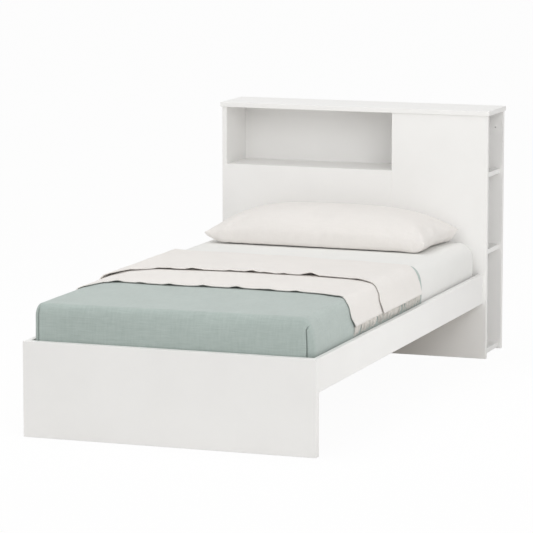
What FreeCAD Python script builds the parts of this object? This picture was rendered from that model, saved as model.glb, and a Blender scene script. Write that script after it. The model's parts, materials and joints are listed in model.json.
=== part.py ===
import FreeCAD, Part
import os
import re
import Sketcher

# Single bed with a bookcase headboard: a flat-pack bed of white faced board.
# Millimetres. X runs across the bed, Y from the foot to the head and Z up. The origin is on the
# floor, under the middle of the bed's full length and width.

# ---------------------------------------------------------------- driving sizes
SIZES = [
    # bedding
    ("mattress_width", 990, "single mattress, side to side"),
    ("mattress_length", 1905, "single mattress, head to foot"),
    ("mattress_thickness", 178, "foam mattress"),
    ("mattress_corner", 45, "plan radius of the mattress's corners"),
    ("mattress_edge", 10, "slope along the mattress's bottom edges"),
    ("mattress_shoulder", 32, "slope along the mattress's top edges"),
    ("mattress_side_gap", 7, "room between the mattress and a side rail"),
    ("mattress_end_gap", 7, "room between the mattress and the foot or head"),
    ("cloth_gap", 0.3, "air between one layer of bedding and the next"),
    ("sheet_thickness", 1.5, "fitted sheet"),
    ("coverlet_thickness", 2.0, "woven coverlet"),
    ("coverlet_reach", 1200, "length of mattress that the coverlet covers from the foot"),
    ("coverlet_tuck", 12, "height of the coverlet's tucked hem above the slats"),
    ("throw_thickness", 2.4, "throw blanket"),
    ("throw_start", 432, "distance from the mattress's foot end to the throw"),
    ("throw_length", 800, "throw, measured along the bed"),
    ("throw_hem_gap", 5, "height of the throw's side hems above the rails"),
    ("pillow_width", 890, "pillow, across the bed"),
    ("pillow_depth", 370, "pillow, along the bed"),
    ("pillow_height", 152, "pillow at its crown"),
    ("pillow_head_gap", 14, "room between the pillow and the headboard"),
    ("pillow_shift", 20, "pillow's middle from the bed's, to the left"),
    # frame
    ("foot_thickness", 28, "footboard"),
    ("rail_thickness", 18, "side rails"),
    ("rail_height", 113, "side rails, top to bottom edge"),
    ("rail_floor_gap", 213, "floor to a side rail's bottom edge"),
    ("board_ease", 0.8, "eased arris on every faced board"),
    ("ledger_width", 22, "slat ledger, out from the rail"),
    ("ledger_height", 28, "slat ledger, top to bottom"),
    ("ledger_lift", 5, "ledger's bottom edge above the rail's bottom edge"),
    ("ledger_end_gap", 50, "ledger's end to the foot or head, clear of the bracket"),
    ("slat_count", 14, "number of slats"),
    ("slat_width", 70, "slat, along the bed"),
    ("slat_thickness", 18, "slat"),
    ("slat_ease", 2.5, "eased edges of a slat"),
    ("slat_end_gap", 54, "first slat's edge to the footboard, last slat's to the head"),
    ("slat_side_gap", 2, "slat's end to the rail"),
    ("strap_width", 25, "webbing strap under the slats"),
    ("strap_thickness", 1.2, "webbing strap"),
    ("strap_offset", 260, "strap's centre line from the middle of the bed"),
    ("beam_width", 30, "centre beam"),
    ("beam_height", 52, "centre beam"),
    ("leg_side", 38, "square centre legs"),
    ("leg_spacing", 720, "centre legs, one to the other"),
    ("leg_ease", 2, "eased edges of a leg"),
    ("glide_diameter", 28, "glide under a centre leg"),
    ("glide_height", 6, "glide under a centre leg"),
    ("bracket_arm", 40, "corner bracket, length of each arm"),
    ("bracket_height", 42, "corner bracket"),
    ("bracket_thickness", 3, "corner bracket"),
    ("bracket_lift", 3, "corner bracket above the rail's bottom edge"),
    ("bracket_hole_reach", 25, "bracket's bolt from the corner"),
    ("hanger_thickness", 2.5, "folded hanger that carries a beam end"),
    ("hanger_depth", 35, "hanger's seat, along the beam"),
    ("hanger_ear", 20, "hanger's ears, out from the cradle"),
    ("hanger_drop", 12, "hanger's top edge below the beam's"),
    # headboard
    ("panel_thickness", 18, "boards of the headboard"),
    ("back_thickness", 18, "back panel of the headboard"),
    ("top_thickness", 18, "top panel of the headboard"),
    ("top_overhang", 6, "top panel past the front and the sides"),
    ("head_height", 948, "headboard"),
    ("head_depth", 230, "headboard, face to back"),
    ("head_side_overhang", 15, "headboard past each side rail"),
    ("tall_panel_width", 380, "front panel that closes the shelf bay"),
    ("panel_seam", 1.0, "seam between the two front panels"),
    ("niche_floor_top", 708, "floor of the open niche"),
    ("middle_shelf_top", 414, "middle shelf of the bay"),
    ("bottom_shelf_top", 30, "bottom shelf of the bay"),
    ("shelf_setback", 12, "shelf ends behind the bay's open side"),
    ("back_floor_gap", 6, "back panel's bottom edge above the floor"),
    ("stretcher_height", 80, "stretcher board inside the closed part"),
    ("stretcher_floor_gap", 50, "stretcher's bottom edge above the floor"),
    ("anchor_hole_diameter", 6, "hole for a wall fixing in the back panel"),
    ("anchor_hole_inset", 31, "wall fixing hole from the bay's open side"),
    ("anchor_hole_drop", 82, "wall fixing hole below the headboard's top"),
    # hardware
    ("dowel_diameter", 8, "wooden dowels"),
    ("dowel_length", 30, "wooden dowels"),
    ("dowel_face_depth", 12, "part of a dowel that sits in the face of a board"),
    ("dowel_margin", 37, "dowel from the front or back edge of a board"),
    ("cam_diameter", 15, "cam locks"),
    ("cam_depth", 12.5, "cam locks"),
    ("cam_setback", 24, "cam's centre from the end of its board"),
    ("cam_bolt_diameter", 6, "bolts that the cams pull on"),
    ("cam_bolt_grip", 11, "part of a cam bolt that sits in the face of a board"),
    ("bay_stagger", 22, "bay's dowels to the side of the niche's, in the same divider"),
    ("bolt_diameter", 6, "hexagon-headed bolts of the corner brackets"),
    ("bolt_bite", 13, "depth of a bolt in the board that it holds to"),
    ("bolt_head_width", 10, "bolt head across its flats"),
    ("bolt_head_height", 4, "bolt head"),
]

# ------------------------------------------- places worked out from the sizes
LAYOUT = {
    # across the bed
    "inner_width": "mattress_width + 2 * mattress_side_gap",
    "frame_width": "inner_width + 2 * rail_thickness",
    "head_width": "frame_width + 2 * head_side_overhang",
    "rail_inner": "inner_width / 2",
    "head_right": "head_width / 2",
    "head_left": "-head_width / 2",
    "side_inner": "head_left + panel_thickness",
    "tall_left": "head_right - tall_panel_width",
    "divider_right": "tall_left + panel_thickness",
    "shelf_right": "head_right - shelf_setback",
    # along the bed
    "inner_length": "mattress_length + 2 * mattress_end_gap",
    "overall_length": "foot_thickness + inner_length + head_depth",
    "foot_front": "-overall_length / 2",
    "foot_back": "foot_front + foot_thickness",
    "head_front": "foot_back + inner_length",
    "carcass_front": "head_front + panel_thickness",
    "head_back": "head_front + head_depth",
    "carcass_back": "head_back - back_thickness",
    "carcass_depth": "carcass_back - carcass_front",
    "carcass_middle": "(carcass_front + carcass_back) / 2",
    "mattress_foot": "foot_back + mattress_end_gap",
    "bed_middle": "(foot_back + head_front) / 2",
    # up the bed
    "rail_top": "rail_floor_gap + rail_height",
    "ledger_bottom": "rail_floor_gap + ledger_lift",
    "slat_bottom": "ledger_bottom + ledger_height",
    "slat_top": "slat_bottom + slat_thickness",
    "beam_bottom": "slat_bottom - beam_height",
    "top_underside": "head_height - top_thickness",
    "niche_floor_bottom": "niche_floor_top - panel_thickness",
    "mattress_bottom": "slat_top + cloth_gap",
    "mattress_top": "mattress_bottom + mattress_thickness",
    # layers of bedding, each counted out from the mattress
    "sheet_inside": "cloth_gap",
    "sheet_outside": "sheet_inside + sheet_thickness",
    "coverlet_inside": "sheet_outside + cloth_gap",
    "coverlet_outside": "coverlet_inside + coverlet_thickness",
    "throw_inside": "coverlet_outside + cloth_gap",
    "throw_outside": "throw_inside + throw_thickness",
    # slats
    "slat_pitch": "(inner_length - 2 * slat_end_gap - slat_width) / (slat_count - 1)",
}

SIZE_NAMES = {name for name, value, note in SIZES}

doc = FreeCAD.newDocument("BookcaseBed")
sheet = doc.addObject("Spreadsheet::Sheet", "Sizes")
for row, (name, value, note) in enumerate(SIZES, start=1):
    sheet.set(f"A{row}", name)
    sheet.set(f"B{row}", str(value))
    sheet.set(f"C{row}", note)
    sheet.setAlias(f"B{row}", name)
doc.recompute()


def bind(text):
    """Turn words such as rail_top into an expression on the cells of the sheet."""
    def cell(match):
        word = match.group(0)
        if word in SIZE_NAMES:
            return "Sizes." + word
        return "(" + bind(LAYOUT[word]) + ")"
    return re.sub(r"[a-z_][a-z_0-9]*", cell, str(text))


def number(text):
    """The value that an expression has now."""
    return sheet.evalExpression(bind(text))


def place(obj, at, rotation=None):
    """Put an object at three expressions, turned by a fixed rotation."""
    if rotation is not None:
        obj.Placement = FreeCAD.Placement(FreeCAD.Vector(), rotation)
    for axis, text in zip("xyz", at):
        obj.setExpression(".Placement.Base." + axis, bind(text))


PARTS = []      # every finished sub-part, in order


def keep(obj, label):
    obj.Label = label
    PARTS.append(obj)
    return obj


# ---------------------------------------------------------------- sketch tools
PLANE_ROLE = {"X": "YZ_Plane", "Y": "XZ_Plane", "Z": "XY_Plane"}
PLANE_SIGN = {"X": 1, "Y": -1, "Z": 1}      # way the plane's normal points along its axis


def sketch_on(body, axis, offset="0"):
    """An empty sketch across one axis of a body, at a distance along that axis."""
    sketch = body.newObject("Sketcher::SketchObject", "Sketch")
    plane = [f for f in body.Origin.OriginFeatures if f.Role == PLANE_ROLE[axis]][0]
    sketch.AttachmentSupport = (plane, [""])
    sketch.MapMode = "FlatFace"
    side = "" if PLANE_SIGN[axis] > 0 else "-"
    sketch.setExpression(".AttachmentOffset.Base.z", side + "(" + bind(offset) + ")")
    return sketch


def name_constraint(sketch, constraint, name, text):
    index = sketch.addConstraint(constraint)
    sketch.renameConstraint(index, name)
    sketch.setExpression("Constraints." + name, bind(text))


def outline(sketch, points):
    """A closed outline of straight lines. Each point is a pair of expressions from the origin."""
    spots = [FreeCAD.Vector(number(u), number(v), 0) for u, v in points]
    count = len(spots)
    for i, spot in enumerate(spots):
        sketch.addGeometry(Part.LineSegment(spot, spots[(i + 1) % count]), False)
    for i in range(count):
        sketch.addConstraint(Sketcher.Constraint("Coincident", i, 2, (i + 1) % count, 1))
    for i, (u, v) in enumerate(points):
        if u == "0":
            sketch.addConstraint(Sketcher.Constraint("PointOnObject", i, 1, -2))
        else:
            constraint = Sketcher.Constraint("DistanceX", -1, 1, i, 1, spots[i].x)
            name_constraint(sketch, constraint, f"across{i}", u)
        if v == "0":
            sketch.addConstraint(Sketcher.Constraint("PointOnObject", i, 1, -1))
        else:
            constraint = Sketcher.Constraint("DistanceY", -1, 1, i, 1, spots[i].y)
            name_constraint(sketch, constraint, f"up{i}", v)


def pad(body, sketch, axis, length):
    """Thicken a sketch towards the plus side of its axis."""
    solid = body.newObject("PartDesign::Pad", "Pad")
    solid.Profile = (sketch, [""])
    solid.Reversed = PLANE_SIGN[axis] < 0
    solid.setExpression("Length", bind(length))
    sketch.Visibility = False
    return solid


def box_points(u, v):
    return [("0", "0"), (u, "0"), (u, v), ("0", v)]


def ease_edges(body, size, feature="PartDesign::Chamfer", pick=None):
    """Take the arris off a body's edges: all of them, or those that pick names."""
    doc.recompute()
    tip = body.Tip
    names = [f"Edge{i}" for i, edge in enumerate(tip.Shape.Edges, start=1)
             if pick is None or pick(edge)]
    ease = body.newObject(feature, "Ease")
    ease.Base = (tip, names)
    ease.setExpression("Size" if feature.endswith("Chamfer") else "Radius", bind(size))
    return ease


def board(label, at, extent, axis, ease="board_ease", points=None):
    """A flat board: an outline drawn across its thickness and padded to that thickness.

    at is its lowest corner and extent its three sizes, all as expressions; axis is the one
    that the thickness runs along.
    """
    body = doc.addObject("PartDesign::Body", "Body")
    flat = [size for name, size in zip("XYZ", extent) if name != axis]
    sketch = sketch_on(body, axis)
    outline(sketch, points or box_points(*flat))
    pad(body, sketch, axis, extent["XYZ".index(axis)])
    if ease:
        ease_edges(body, ease)
    place(body, at)
    body.addProperty("App::PropertyStringList", "Corner")
    body.Corner = [str(text) for text in at]
    return keep(body, label)


def drill(body, axis, start, toward, centres, diameter, depth):
    """Bore round holes in a board.

    start is where the bit meets the wood, measured in the bed's own frame along the axis, toward
    is +1 or -1 along it, and centres are pairs of expressions in the bed's frame.
    """
    corner = dict(zip("XYZ", body.Corner))
    across = [name for name in "XYZ" if name != axis]
    sketch = sketch_on(body, axis, f"({start}) - ({corner[axis]})")
    for i, centre in enumerate(centres):
        local = [f"({text}) - ({corner[name]})" for text, name in zip(centre, across)]
        spot = FreeCAD.Vector(number(local[0]), number(local[1]), 0)
        circle = Part.Circle(spot, FreeCAD.Vector(0, 0, 1), number(diameter) / 2)
        sketch.addGeometry(circle, False)
        name_constraint(sketch, Sketcher.Constraint("Diameter", i, number(diameter)),
                        f"bore{i}", diameter)
        name_constraint(sketch, Sketcher.Constraint("DistanceX", -1, 1, i, 3, spot.x),
                        f"across{i}", local[0])
        name_constraint(sketch, Sketcher.Constraint("DistanceY", -1, 1, i, 3, spot.y),
                        f"up{i}", local[1])
    doc.recompute()
    before = body.Shape.Volume
    cut = body.newObject("PartDesign::Pocket", "Bore")
    cut.Profile = (sketch, [""])
    cut.Reversed = toward * PLANE_SIGN[axis] > 0
    cut.setExpression("Length", bind(depth))
    sketch.Visibility = False
    doc.recompute()
    if body.Shape.Volume >= before:
        raise RuntimeError("a bore cuts nothing in " + body.Label)


# -------------------------------------------------------------- hardware tools
TURN = {
    ("Z", 1): FreeCAD.Rotation(),
    ("Z", -1): FreeCAD.Rotation(FreeCAD.Vector(1, 0, 0), 180),
    ("X", 1): FreeCAD.Rotation(FreeCAD.Vector(0, 1, 0), 90),
    ("X", -1): FreeCAD.Rotation(FreeCAD.Vector(0, 1, 0), -90),
    ("Y", 1): FreeCAD.Rotation(FreeCAD.Vector(1, 0, 0), -90),
    ("Y", -1): FreeCAD.Rotation(FreeCAD.Vector(1, 0, 0), 90),
}


RIB_COUNT = 12


def peg(at, axis, toward, diameter, length):
    """A round peg that starts at a point and runs along an axis."""
    rod = doc.addObject("Part::Cylinder", "Peg")
    rod.setExpression("Radius", bind(f"({diameter}) / 2"))
    rod.setExpression("Height", bind(length))
    place(rod, at, TURN[(axis, toward)])
    return rod


def ribbed_peg(at, axis, toward, diameter, length):
    """A peg that grips its bore along twelve ridges, for a fluted dowel or a threaded shank."""
    rod = doc.addObject("Part::Prism", "RibbedPeg")
    rod.Polygon = RIB_COUNT
    rod.setExpression("Circumradius", bind(f"({diameter}) / 2"))
    rod.setExpression("Height", bind(length))
    place(rod, at, TURN[(axis, toward)])
    return rod


def bolt(at, axis, toward, length):
    """A hexagon-headed bolt: at is the seat under its head, toward is the way its point goes."""
    back = dict(zip("XYZ", at))
    back[axis] = f"({back[axis]}) {'-' if toward > 0 else '+'} bolt_head_height"
    head = doc.addObject("Part::Prism", "Head")
    head.Polygon = 6
    head.setExpression("Circumradius", bind("bolt_head_width / 2") + " / cos(30 deg)")
    head.setExpression("Height", bind("bolt_head_height"))
    place(head, [back[name] for name in "XYZ"], TURN[(axis, toward)])
    whole = doc.addObject("Part::MultiFuse", "Bolt")
    whole.Shapes = [head, ribbed_peg(at, axis, toward, "bolt_diameter", length)]
    whole.Refine = False
    return whole


def group(label, items):
    """Identical small parts in one node, each still a solid of its own."""
    bunch = doc.addObject("Part::Compound", "Group")
    bunch.Links = items
    return keep(bunch, label)


# ================================================================== headboard
CARCASS_RUN = "head_depth - back_thickness"      # side panel, front to back

# The left side panel is notched: its front edge shows beside the niche, and below the niche the
# lower front panel laps over it.
side_panel = board(
    "left_side_panel", ("head_left", "head_front", "0"),
    ("panel_thickness", CARCASS_RUN, "top_underside"), "X",
    points=[("panel_thickness", "0"), (CARCASS_RUN, "0"), (CARCASS_RUN, "top_underside"),
            ("0", "top_underside"), ("0", "niche_floor_top"),
            ("panel_thickness", "niche_floor_top")])

divider = board(
    "centre_divider", ("tall_left", "carcass_front", "0"),
    ("panel_thickness", "carcass_depth", "top_underside"), "X")

lower_front = board(
    "lower_front_panel", ("head_left", "head_front", "0"),
    ("tall_left - panel_seam - head_left", "panel_thickness", "niche_floor_top"), "Y")

tall_front = board(
    "tall_front_panel", ("tall_left", "head_front", "0"),
    ("tall_panel_width", "panel_thickness", "top_underside"), "Y")

back_panel = board(
    "back_panel", ("head_left", "carcass_back", "back_floor_gap"),
    ("head_width", "back_thickness", "top_underside - back_floor_gap"), "Y")

top_panel = board(
    "top_panel", ("head_left - top_overhang", "head_front - top_overhang", "top_underside"),
    ("head_width + 2 * top_overhang", "head_depth + top_overhang", "top_thickness"), "Z")

niche_floor = board(
    "niche_floor", ("side_inner", "carcass_front", "niche_floor_bottom"),
    ("tall_left - side_inner", "carcass_depth", "panel_thickness"), "Z")

SHELF_TOPS = {"bay_shelf_upper": "niche_floor_top", "bay_shelf_middle": "middle_shelf_top",
              "bay_shelf_bottom": "bottom_shelf_top"}
shelves = {
    label: board(label, ("divider_right", "carcass_front", f"{top} - panel_thickness"),
                 ("shelf_right - divider_right", "carcass_depth", "panel_thickness"), "Z")
    for label, top in SHELF_TOPS.items()}

stretcher = board(
    "carcass_stretcher",
    ("side_inner", "carcass_back - panel_thickness", "stretcher_floor_gap"),
    ("tall_left - side_inner", "panel_thickness", "stretcher_height"), "Y")

# ====================================================================== frame
footboard = board(
    "footboard", ("-frame_width / 2", "foot_front", "0"),
    ("frame_width", "foot_thickness", "rail_top"), "Y")

SIDES = {"left": -1, "right": 1}
ENDS = {"foot": -1, "head": 1}

rails = {
    side: board(f"side_rail_{side}",
                ("-frame_width / 2" if way < 0 else "rail_inner", "foot_back", "rail_floor_gap"),
                ("rail_thickness", "inner_length", "rail_height"), "X")
    for side, way in SIDES.items()}

ledgers = {
    side: board(f"slat_ledger_{side}",
                ("-rail_inner" if way < 0 else "rail_inner - ledger_width",
                 "foot_back + ledger_end_gap", "ledger_bottom"),
                ("ledger_width", "inner_length - 2 * ledger_end_gap", "ledger_height"), "X")
    for side, way in SIDES.items()}

for i in range(round(number("slat_count"))):
    board(f"slat_{i + 1:02d}",
          ("-rail_inner + slat_side_gap",
           f"foot_back + slat_end_gap + {i} * slat_pitch", "slat_bottom"),
          ("inner_width - 2 * slat_side_gap", "slat_width", "slat_thickness"), "Z",
          ease="slat_ease")

for side, way in SIDES.items():
    board(f"slat_strap_{side}",
          (f"{way} * strap_offset - strap_width / 2", "foot_back + slat_end_gap",
           "slat_bottom - strap_thickness"),
          ("strap_width", "inner_length - 2 * slat_end_gap", "strap_thickness"), "Z", ease=None)

board("centre_beam",
      ("-beam_width / 2", "foot_back + hanger_thickness", "beam_bottom"),
      ("beam_width", "inner_length - 2 * hanger_thickness", "beam_height"), "X")

LEG_PLACES = {"foot": "bed_middle - leg_spacing / 2", "head": "bed_middle + leg_spacing / 2"}
for end, middle in LEG_PLACES.items():
    board(f"centre_leg_{end}",
          ("-leg_side / 2", f"{middle} - leg_side / 2", "glide_height"),
          ("leg_side", "leg_side", "beam_bottom - glide_height"), "Z", ease="leg_ease")
group("leg_glides", [peg(("0", middle, "0"), "Z", 1, "glide_diameter", "glide_height")
                     for middle in LEG_PLACES.values()])

# Each end of the centre beam drops into a folded steel hanger: a cradle on a screwed back plate.
EAR = "(hanger_ear + hanger_thickness)"
HANGER_WIDTH = "(beam_width + 2 * hanger_thickness + 2 * hanger_ear)"
HANGER_HEIGHT = "(beam_height - hanger_drop)"
HALF_TURN = FreeCAD.Rotation(FreeCAD.Vector(0, 0, 1), 180)


def beam_hanger(label, at, rotation):
    body = doc.addObject("PartDesign::Body", "Body")
    plate = sketch_on(body, "Y")
    outline(plate, box_points(HANGER_WIDTH, HANGER_HEIGHT))
    pad(body, plate, "Y", "hanger_thickness")
    cradle = sketch_on(body, "Y")
    left, right = "hanger_ear", f"{HANGER_WIDTH} - hanger_ear"
    outline(cradle, [(left, "0"), (right, "0"), (right, HANGER_HEIGHT),
                     (f"{HANGER_WIDTH} - {EAR}", HANGER_HEIGHT),
                     (f"{HANGER_WIDTH} - {EAR}", "hanger_thickness"),
                     (EAR, "hanger_thickness"), (EAR, HANGER_HEIGHT), (left, HANGER_HEIGHT)])
    pad(body, cradle, "Y", "hanger_depth")
    place(body, at, rotation)
    return keep(body, label)


HANGER_BOTTOM = "beam_bottom - hanger_thickness"
beam_hanger("beam_hanger_foot", (f"-{HANGER_WIDTH} / 2", "foot_back", HANGER_BOTTOM), None)
beam_hanger("beam_hanger_head", (f"{HANGER_WIDTH} / 2", "head_front", HANGER_BOTTOM), HALF_TURN)

# Four steel angles tie the rails to the foot and the head.
QUARTER_TURNS = {("left", "foot"): 0, ("right", "foot"): 90,
                 ("right", "head"): 180, ("left", "head"): 270}


def corner_bracket(label, at, turn):
    body = doc.addObject("PartDesign::Body", "Body")
    body.addProperty("App::PropertyStringList", "Corner")
    body.Corner = ["0", "0", "0"]
    angle = sketch_on(body, "Z")
    outline(angle, [("0", "0"), ("bracket_arm", "0"), ("bracket_arm", "bracket_thickness"),
                    ("bracket_thickness", "bracket_thickness"),
                    ("bracket_thickness", "bracket_arm"), ("0", "bracket_arm")])
    pad(body, angle, "Z", "bracket_height")
    hole = [("bracket_hole_reach", "bracket_height / 2")]
    drill(body, "Y", "0", 1, hole, "bolt_diameter", "bracket_thickness")
    drill(body, "X", "0", 1, hole, "bolt_diameter", "bracket_thickness")
    place(body, at, FreeCAD.Rotation(FreeCAD.Vector(0, 0, 1), turn))
    return keep(body, label)


for (side, end), turn in QUARTER_TURNS.items():
    corner_bracket(f"corner_bracket_{end}_{side}",
                   (f"{SIDES[side]} * rail_inner", "foot_back" if end == "foot" else "head_front",
                    "rail_floor_gap + bracket_lift"), turn)

# ================================================== joints of the headboard
DOWEL_ROWS = ["carcass_front + dowel_margin", "carcass_back - dowel_margin"]
BAY_DOWEL_ROWS = ["carcass_front + dowel_margin + bay_stagger",
                  "carcass_back - dowel_margin - bay_stagger"]
EDGE_DEPTH = "dowel_length - dowel_face_depth"
BOLT_REACH = "(cam_setback - cam_diameter / 2)"
BOLT_LENGTH = f"cam_bolt_grip + {BOLT_REACH}"

dowels, cams, cam_bolts = [], [], []


def butt_joint(shelf, shelf_top, wall, face, toward, dowel_rows, cam_row=None):
    """Dowels, and a cam lock if it has a row, between a flat board's end and an upright's face.

    face is where they meet along X, and toward is the way from the upright into the flat board.
    """
    level = f"{shelf_top} - panel_thickness / 2"
    minus = "-" if toward > 0 else "+"
    plus = "+" if toward > 0 else "-"
    holes = [(row, level) for row in dowel_rows]
    drill(wall, "X", face, -toward, holes, "dowel_diameter", "dowel_face_depth")
    drill(shelf, "X", face, toward, holes, "dowel_diameter", EDGE_DEPTH)
    dowels.extend(ribbed_peg((f"{face} {minus} dowel_face_depth", row, level), "X", toward,
                             "dowel_diameter", "dowel_length") for row in dowel_rows)
    if cam_row is None:
        return
    cam_centre = f"{face} {plus} cam_setback"
    drill(wall, "X", face, -toward, [(cam_row, level)], "cam_bolt_diameter", "cam_bolt_grip")
    drill(shelf, "X", face, toward, [(cam_row, level)], "cam_bolt_diameter", BOLT_REACH)
    underside = f"{shelf_top} - panel_thickness"
    drill(shelf, "Z", underside, 1, [(cam_centre, cam_row)], "cam_diameter", "cam_depth")
    cams.append(peg((cam_centre, cam_row, underside), "Z", 1, "cam_diameter", "cam_depth"))
    cam_bolts.append(ribbed_peg((f"{face} {minus} cam_bolt_grip", cam_row, level), "X", toward,
                                "cam_bolt_diameter", BOLT_LENGTH))


butt_joint(niche_floor, "niche_floor_top", side_panel, "side_inner", 1,
           DOWEL_ROWS, "carcass_middle")
butt_joint(niche_floor, "niche_floor_top", divider, "tall_left", -1,
           DOWEL_ROWS, "carcass_middle")
for label, top in SHELF_TOPS.items():
    butt_joint(shelves[label], top, divider, "divider_right", 1, BAY_DOWEL_ROWS)

# The top panel sits on the uprights: dowels into both, and a cam lock on the bay's side.
for upright, left_face in [(side_panel, "head_left"), (divider, "tall_left")]:
    centre = f"{left_face} + panel_thickness / 2"
    holes = [(centre, row) for row in DOWEL_ROWS]
    drill(top_panel, "Z", "top_underside", 1, holes, "dowel_diameter", "dowel_face_depth")
    drill(upright, "Z", "top_underside", -1, holes, "dowel_diameter", EDGE_DEPTH)
    dowels.extend(ribbed_peg((centre, row, "top_underside + dowel_face_depth"), "Z", -1,
                             "dowel_diameter", "dowel_length") for row in DOWEL_ROWS)
divider_centre = "tall_left + panel_thickness / 2"
cam_level = "top_underside - cam_setback"
drill(top_panel, "Z", "top_underside", 1, [(divider_centre, "carcass_middle")],
      "cam_bolt_diameter", "cam_bolt_grip")
drill(divider, "Z", "top_underside", -1, [(divider_centre, "carcass_middle")],
      "cam_bolt_diameter", BOLT_REACH)
drill(divider, "X", "divider_right", -1, [("carcass_middle", cam_level)],
      "cam_diameter", "cam_depth")
cams.append(peg(("divider_right", "carcass_middle", cam_level), "X", -1,
                "cam_diameter", "cam_depth"))
cam_bolts.append(ribbed_peg((divider_centre, "carcass_middle", "top_underside + cam_bolt_grip"),
                            "Z", -1, "cam_bolt_diameter", BOLT_LENGTH))

group("dowels", dowels)
group("cam_locks", cams)
group("cam_bolts", cam_bolts)

# A hole near the bay's open side takes a wall fixing.
drill(back_panel, "Y", "head_back", -1,
      [("head_right - anchor_hole_inset", "head_height - anchor_hole_drop")],
      "anchor_hole_diameter", "back_thickness")

# ===================================================== bolts of the bed frame
BRACKET_LEVEL = "rail_floor_gap + bracket_lift + bracket_height / 2"
PANEL_AT = {("left", "foot"): footboard, ("right", "foot"): footboard,
            ("left", "head"): lower_front, ("right", "head"): tall_front}
bracket_bolts = []
for (side, end), panel in PANEL_AT.items():
    way, out = SIDES[side], ENDS[end]
    face = "foot_back" if end == "foot" else "head_front"
    x = f"{way} * (rail_inner - bracket_hole_reach)"
    y = f"{face} - {out} * bracket_hole_reach"
    drill(panel, "Y", face, out, [(x, BRACKET_LEVEL)], "bolt_diameter", "bolt_bite")
    drill(rails[side], "X", f"{way} * rail_inner", way, [(y, BRACKET_LEVEL)],
          "bolt_diameter", "bolt_bite")
    bracket_bolts.append(bolt((x, f"{face} - {out} * bracket_thickness", BRACKET_LEVEL),
                              "Y", out, "bracket_thickness + bolt_bite"))
    bracket_bolts.append(bolt((f"{way} * (rail_inner - bracket_thickness)", y, BRACKET_LEVEL),
                              "X", way, "bracket_thickness + bolt_bite"))
group("bracket_bolts", bracket_bolts)

# ==================================================================== bedding


def upright_edge(edge):
    ends = [vertex.Point for vertex in edge.Vertexes]
    return len(ends) == 2 and (ends[0] - ends[1]).cross(FreeCAD.Vector(0, 0, 1)).Length < 1e-6


def level_edge(height):
    def pick(edge):
        box = edge.BoundBox
        return box.ZLength < 1e-6 and abs(box.ZMin - height) < 1e-6
    return pick


def bedding_block(outset, low, lower_edge=False):
    """The mattress's form grown by outset on its sides and top, from a level up."""
    body = doc.addObject("PartDesign::Body", "Body")
    sketch = sketch_on(body, "Z")
    outline(sketch, box_points(f"mattress_width + 2 * ({outset})",
                               f"mattress_length + 2 * ({outset})"))
    height = f"mattress_top + ({outset}) - ({low})"
    pad(body, sketch, "Z", height)
    ease_edges(body, f"mattress_corner + ({outset})", "PartDesign::Fillet", upright_edge)
    ease_edges(body, f"mattress_shoulder + ({outset})", pick=level_edge(number(height)))
    if lower_edge:
        ease_edges(body, "mattress_edge", pick=level_edge(0))
    place(body, (f"-mattress_width / 2 - ({outset})", f"mattress_foot - ({outset})", low))
    return body


def bedding_cover(inside, outside, low):
    """A cloth over the mattress: its outer form less the form that it lies on."""
    cover = doc.addObject("Part::Cut", "Cover")
    cover.Base = bedding_block(outside, low)
    cover.Tool = bedding_block(inside, f"{low} - mattress_edge")
    cover.Refine = False
    return cover


def bedding_span(label, cover, start, length):
    """The stretch of a cover between two places along the bed."""
    window = doc.addObject("Part::Box", "Window")
    window.setExpression("Length", bind("mattress_width + 4 * mattress_corner"))
    window.setExpression("Width", bind(length))
    window.setExpression("Height", bind("mattress_top + 2 * mattress_thickness"))
    place(window, ("-mattress_width / 2 - 2 * mattress_corner", start, "0"))
    span = doc.addObject("Part::Common", "Span")
    span.Base, span.Tool = cover, window
    span.Refine = False
    return keep(span, label)


keep(bedding_block("0", "mattress_bottom", lower_edge=True), "mattress")
keep(bedding_cover("sheet_inside", "sheet_outside", "mattress_bottom + mattress_edge"),
     "fitted_sheet")
bedding_span("coverlet",
             bedding_cover("coverlet_inside", "coverlet_outside", "slat_top + coverlet_tuck"),
             "mattress_foot - mattress_corner", "coverlet_reach + mattress_corner")
bedding_span("throw_blanket",
             bedding_cover("throw_inside", "throw_outside", "rail_top + throw_hem_gap"),
             "mattress_foot + throw_start", "throw_length")

# The pillow is a lofted cushion: narrow where it rests, full at its seam and drawn in at the crown.
PILLOW_SECTIONS = [  # share of the height, of the width, of the depth
    (0.0, 0.86, 0.66), (0.14, 0.97, 0.93), (0.34, 1.0, 1.0),
    (0.62, 0.95, 0.86), (0.86, 0.82, 0.58), (1.0, 0.62, 0.30)]
pillow = doc.addObject("PartDesign::Body", "Body")
sections = []
for height, width, depth in PILLOW_SECTIONS:
    section = sketch_on(pillow, "Z", f"pillow_height * {height}")
    outline(section, [(f"pillow_width * {0.5 - width / 2}", f"pillow_depth * {0.5 - depth / 2}"),
                      (f"pillow_width * {0.5 + width / 2}", f"pillow_depth * {0.5 - depth / 2}"),
                      (f"pillow_width * {0.5 + width / 2}", f"pillow_depth * {0.5 + depth / 2}"),
                      (f"pillow_width * {0.5 - width / 2}", f"pillow_depth * {0.5 + depth / 2}")])
    section.Visibility = False
    sections.append(section)
loft = pillow.newObject("PartDesign::AdditiveLoft", "Loft")
loft.Profile = (sections[0], [""])
loft.Sections = [(section, [""]) for section in sections[1:]]
loft.Ruled = True
place(pillow, ("-pillow_width / 2 - pillow_shift",
               "head_front - pillow_head_gap - pillow_depth",
               "mattress_top + sheet_outside + cloth_gap"))
keep(pillow, "pillow")

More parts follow.
